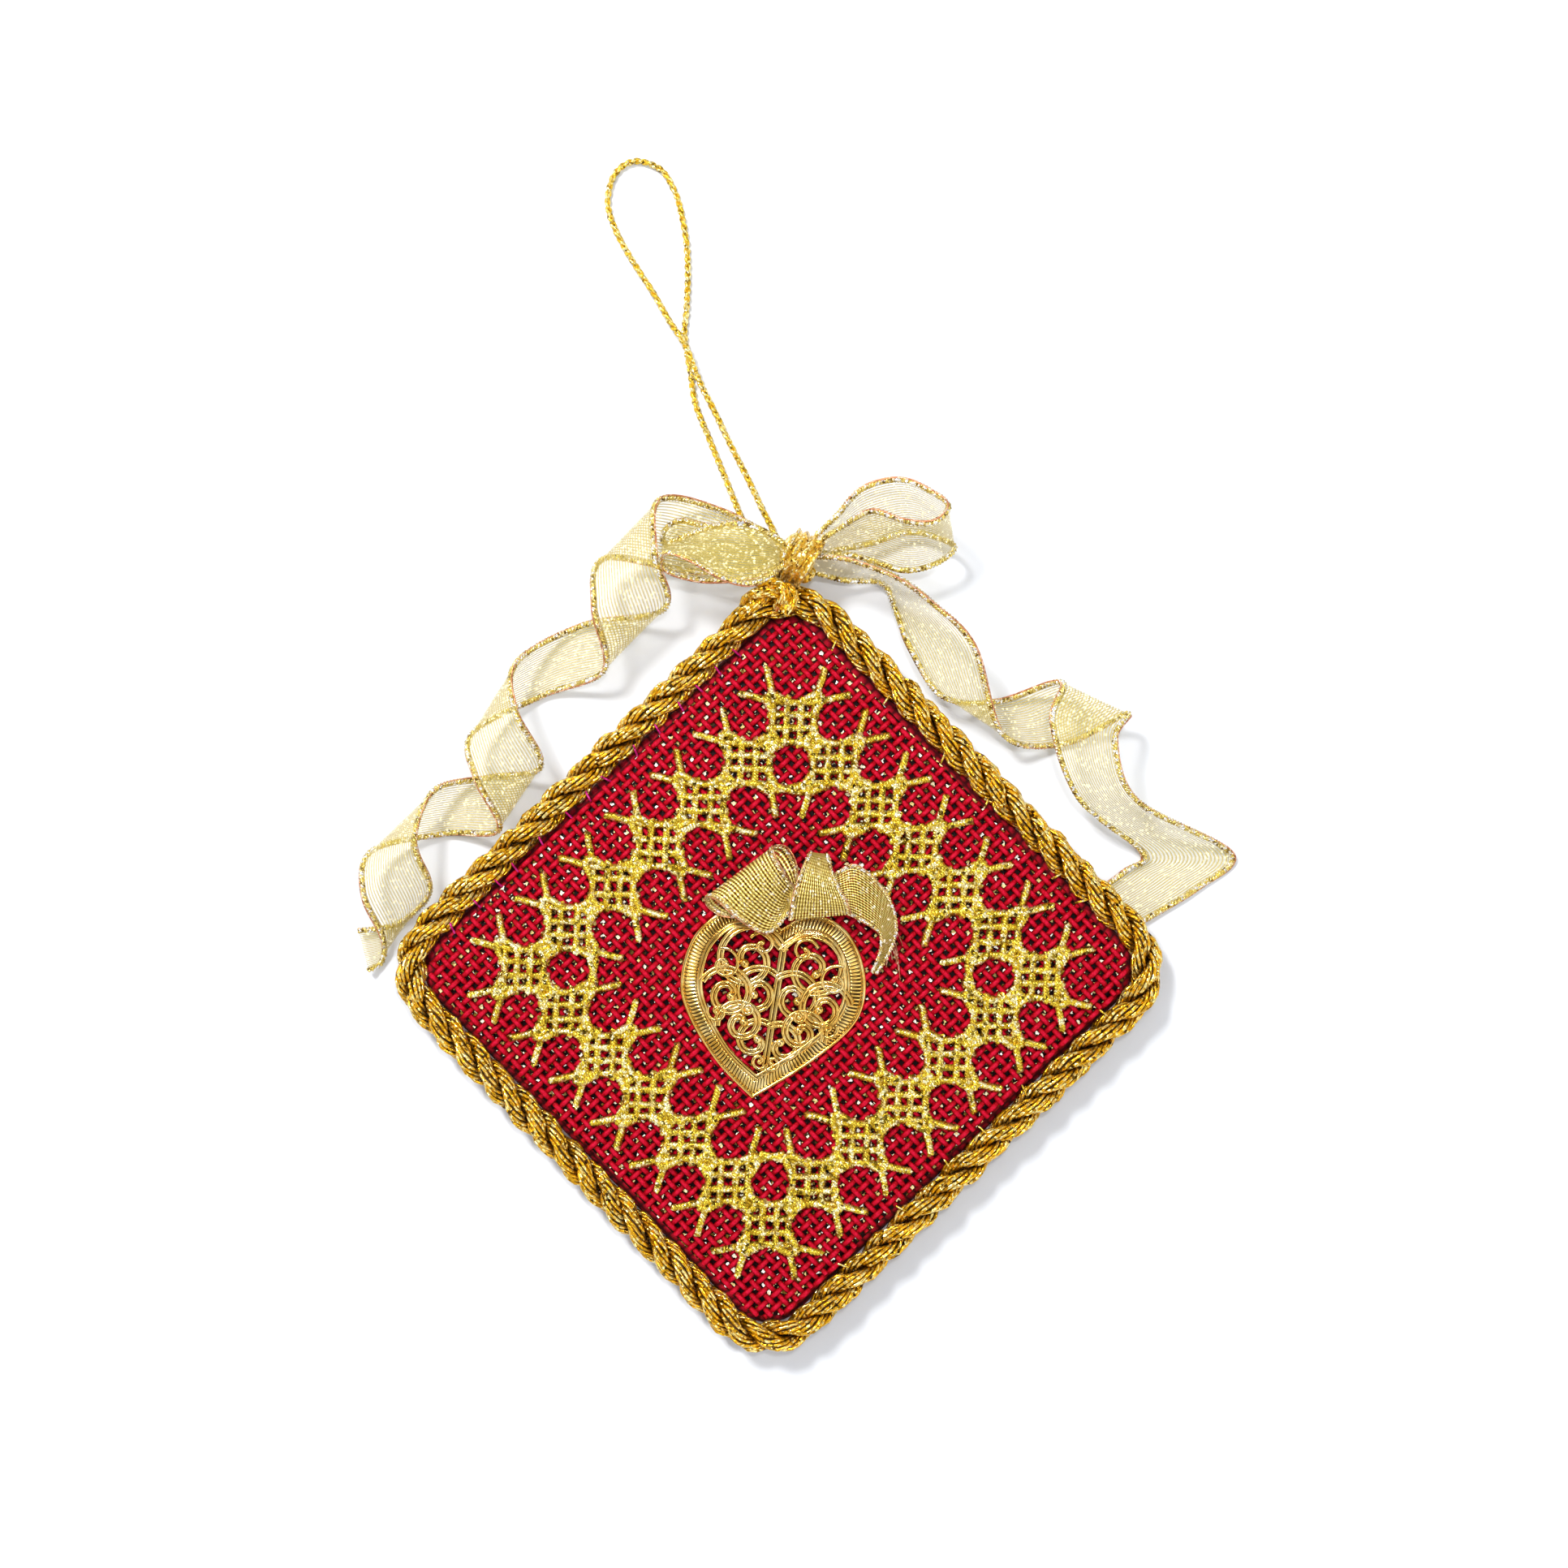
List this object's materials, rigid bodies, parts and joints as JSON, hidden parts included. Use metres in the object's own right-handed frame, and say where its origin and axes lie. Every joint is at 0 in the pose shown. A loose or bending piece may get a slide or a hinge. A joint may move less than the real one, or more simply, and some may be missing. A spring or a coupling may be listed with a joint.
{
  "type": "hanging heart ornament",
  "caption": "Square padded needlework ornament hung by one corner, with a ring of stitched stars, an openwork heart charm, a rope edge, a ribbon bow with curled tails and a hanging cord.",
  "frame": {"origin": "centre of the padded square's flat back", "axes": "+Z out of the decorated front; +Y towards the corner that the ornament hangs by; +X to the right seen from the front"},
  "size_m": [0.1262, 0.1709, 0.0151],
  "materials": {
    "canvas": "red cotton needlework canvas",
    "gold_thread": "pale gold metallic embroidery thread",
    "gold_rope": "gold metallic twisted rope",
    "brass": "polished stamped brass",
    "lame_ribbon": "gold mesh ribbon with metallic edges",
    "organza_ribbon": "sheer pale gold ribbon with metallic wired edges",
    "gold_cord": "thin two-ply gold cord"
  },
  "bodies": {
    "root": {"padded_square": "canvas", "embroidery": "gold_thread", "edging_rope": "gold_rope", "heart_charm": "brass", "charm_bow": "lame_ribbon", "ribbon_bow": "organza_ribbon", "hanging_loop": "gold_cord"}
  },
  "joints": []
}
